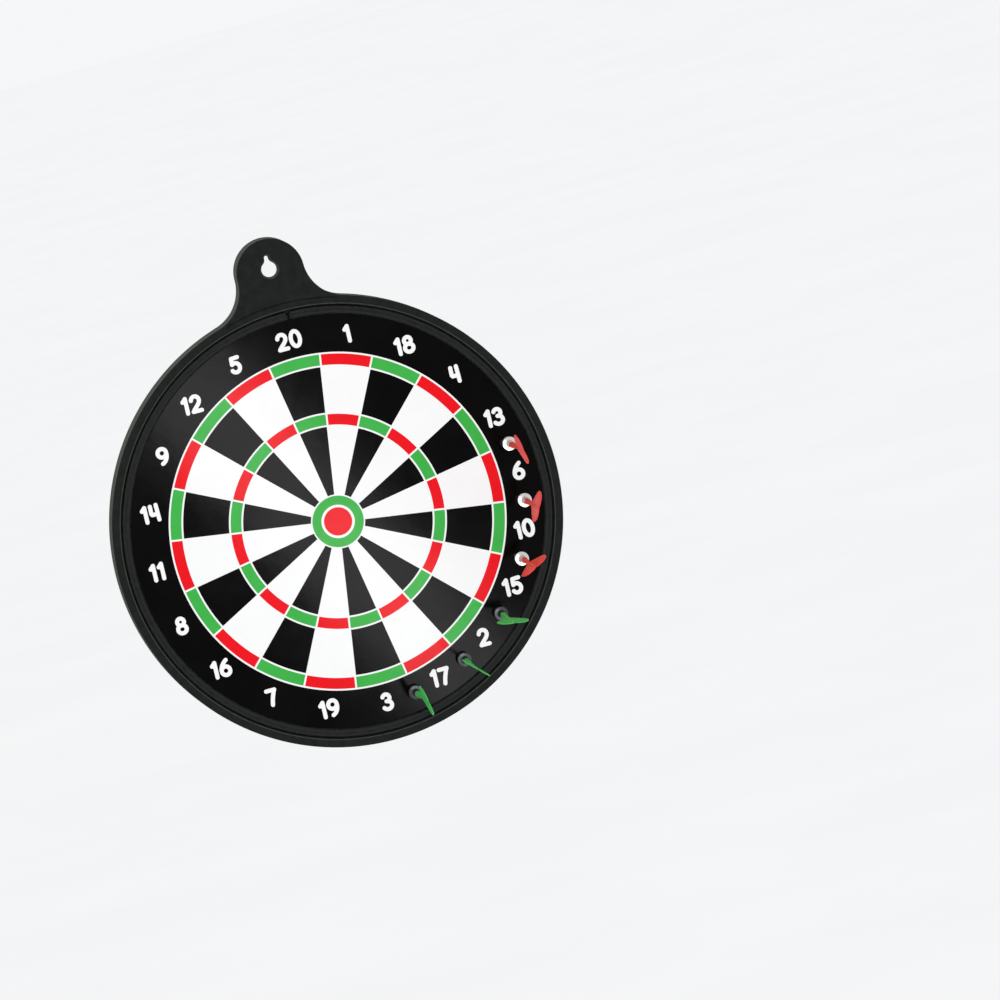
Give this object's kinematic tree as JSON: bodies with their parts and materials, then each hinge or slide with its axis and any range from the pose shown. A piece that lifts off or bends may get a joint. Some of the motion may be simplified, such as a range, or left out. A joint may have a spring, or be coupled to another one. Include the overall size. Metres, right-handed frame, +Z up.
{
  "type": "magnetic dartboard",
  "caption": "Round hanging target board with a magnetic dart face in front and a loop fabric scoring face behind, with magnetic darts and hook-strap balls.",
  "frame": {"origin": "seat of the hanging nail: centre of the keyhole's narrow end, on the board's back plane", "axes": "+Z up towards the end of the hanging tab, -Y out of the magnetic dart face, +Y out of the fabric face, +X to the right as the dart face is seen"},
  "size_m": [0.37, 0.149, 0.4235],
  "materials": {
    "eva_foam": "matte",
    "core": "matte",
    "sheet_steel": "satin",
    "printed_sheet": "satin",
    "rubber_bead": "matte",
    "soft_foam": "matte",
    "loop_fabric": "matte",
    "red_plastic": "satin",
    "green_plastic": "satin",
    "nickel": "gloss",
    "gunmetal": "gloss",
    "magnet": "satin",
    "yellow_plastic": "gloss",
    "blue_plastic": "gloss",
    "hook_tape": "matte"
  },
  "bodies": {
    "board": {"foam_frame": "eva_foam", "core_board": "core", "steel_plate": "sheet_steel", "target_sheet": "printed_sheet", "front_retaining_ring": "rubber_bead", "foam_pad": "soft_foam", "loop_fabric_face": "loop_fabric", "back_retaining_ring": "rubber_bead"},
    "dart_1": {"dart_1_flight": "red_plastic", "dart_1_barrel": "nickel", "dart_1_magnet": "magnet"},
    "dart_2": {"dart_2_flight": "red_plastic", "dart_2_barrel": "nickel", "dart_2_magnet": "magnet"},
    "dart_3": {"dart_3_flight": "red_plastic", "dart_3_barrel": "nickel", "dart_3_magnet": "magnet"},
    "dart_4": {"dart_4_flight": "green_plastic", "dart_4_barrel": "gunmetal", "dart_4_magnet": "magnet"},
    "dart_5": {"dart_5_flight": "green_plastic", "dart_5_barrel": "gunmetal", "dart_5_magnet": "magnet"},
    "dart_6": {"dart_6_flight": "green_plastic", "dart_6_barrel": "gunmetal", "dart_6_magnet": "magnet"},
    "ball_1": {"ball_1_shell": "yellow_plastic", "ball_1_strap_a": "hook_tape", "ball_1_strap_b": "hook_tape", "ball_1_strap_c": "hook_tape"},
    "ball_2": {"ball_2_shell": "yellow_plastic", "ball_2_strap_a": "hook_tape", "ball_2_strap_b": "hook_tape", "ball_2_strap_c": "hook_tape"},
    "ball_3": {"ball_3_shell": "yellow_plastic", "ball_3_strap_a": "hook_tape", "ball_3_strap_b": "hook_tape", "ball_3_strap_c": "hook_tape"},
    "ball_4": {"ball_4_shell": "blue_plastic", "ball_4_strap_a": "hook_tape", "ball_4_strap_b": "hook_tape", "ball_4_strap_c": "hook_tape"},
    "ball_5": {"ball_5_shell": "blue_plastic", "ball_5_strap_a": "hook_tape", "ball_5_strap_b": "hook_tape", "ball_5_strap_c": "hook_tape"},
    "ball_6": {"ball_6_shell": "blue_plastic", "ball_6_strap_a": "hook_tape", "ball_6_strap_b": "hook_tape", "ball_6_strap_c": "hook_tape"}
  },
  "joints": [
    {"name": "dart_1_pull", "type": "slide", "parent": "board", "child": "dart_1", "axis": [0, -1, 0], "range_m": [0, 0.12]},
    {"name": "dart_2_pull", "type": "slide", "parent": "board", "child": "dart_2", "axis": [0, -1, 0], "range_m": [0, 0.12]},
    {"name": "dart_3_pull", "type": "slide", "parent": "board", "child": "dart_3", "axis": [0, -1, 0], "range_m": [0, 0.12]},
    {"name": "dart_4_pull", "type": "slide", "parent": "board", "child": "dart_4", "axis": [0, -1, 0], "range_m": [0, 0.12]},
    {"name": "dart_5_pull", "type": "slide", "parent": "board", "child": "dart_5", "axis": [0, -1, 0], "range_m": [0, 0.12]},
    {"name": "dart_6_pull", "type": "slide", "parent": "board", "child": "dart_6", "axis": [0, -1, 0], "range_m": [0, 0.12]},
    {"name": "ball_1_pull", "type": "slide", "parent": "board", "child": "ball_1", "axis": [0, 1, 0], "range_m": [0, 0.06]},
    {"name": "ball_2_pull", "type": "slide", "parent": "board", "child": "ball_2", "axis": [0, 1, 0], "range_m": [0, 0.06]},
    {"name": "ball_3_pull", "type": "slide", "parent": "board", "child": "ball_3", "axis": [0, 1, 0], "range_m": [0, 0.06]},
    {"name": "ball_4_pull", "type": "slide", "parent": "board", "child": "ball_4", "axis": [0, 1, 0], "range_m": [0, 0.06]},
    {"name": "ball_5_pull", "type": "slide", "parent": "board", "child": "ball_5", "axis": [0, 1, 0], "range_m": [0, 0.06]},
    {"name": "ball_6_pull", "type": "slide", "parent": "board", "child": "ball_6", "axis": [0, 1, 0], "range_m": [0, 0.06]}
  ]
}
